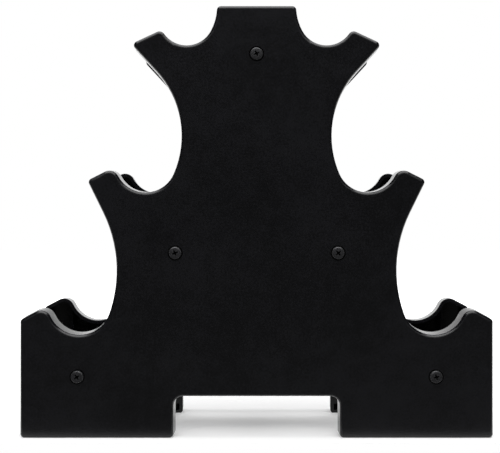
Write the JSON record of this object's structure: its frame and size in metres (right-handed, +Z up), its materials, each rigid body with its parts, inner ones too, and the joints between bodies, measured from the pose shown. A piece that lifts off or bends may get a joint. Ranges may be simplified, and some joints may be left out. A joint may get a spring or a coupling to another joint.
{
  "type": "dumbbell rack",
  "caption": "Free-standing tiered dumbbell rack: pyramid-shaped moulded plastic panels with round handle cradles, joined by screwed cross tubes.",
  "frame": {"origin": "middle of the footprint, on the floor", "axes": "+X to the right along the width seen from the front, +Y from the front panel to the rear panel, +Z up"},
  "size_m": [0.3814, 0.1144, 0.3479],
  "materials": {
    "panel_plastic": "black moulded plastic with a fine satin grain",
    "tube_coating": "black powder coat on steel tube",
    "plug_zinc": "bare die-cast zinc",
    "screw_steel": "black zinc plate on steel, slightly glossy"
  },
  "bodies": {
    "root": {"front_panel": "panel_plastic", "plug_front_bottom_left": "plug_zinc", "plug_front_bottom_right": "plug_zinc", "plug_front_middle_left": "plug_zinc", "plug_front_middle_right": "plug_zinc", "plug_front_top": "plug_zinc", "plug_rear_bottom_left": "plug_zinc", "plug_rear_bottom_right": "plug_zinc", "plug_rear_middle_left": "plug_zinc", "plug_rear_middle_right": "plug_zinc", "plug_rear_top": "plug_zinc", "rear_panel": "panel_plastic", "screw_front_bottom_left": "screw_steel", "screw_front_bottom_right": "screw_steel", "screw_front_middle_left": "screw_steel", "screw_front_middle_right": "screw_steel", "screw_front_top": "screw_steel", "screw_rear_bottom_left": "screw_steel", "screw_rear_bottom_right": "screw_steel", "screw_rear_middle_left": "screw_steel", "screw_rear_middle_right": "screw_steel", "screw_rear_top": "screw_steel", "tube_bottom_left": "tube_coating", "tube_bottom_right": "tube_coating", "tube_middle_left": "tube_coating", "tube_middle_right": "tube_coating", "tube_top": "tube_coating"}
  },
  "joints": []
}
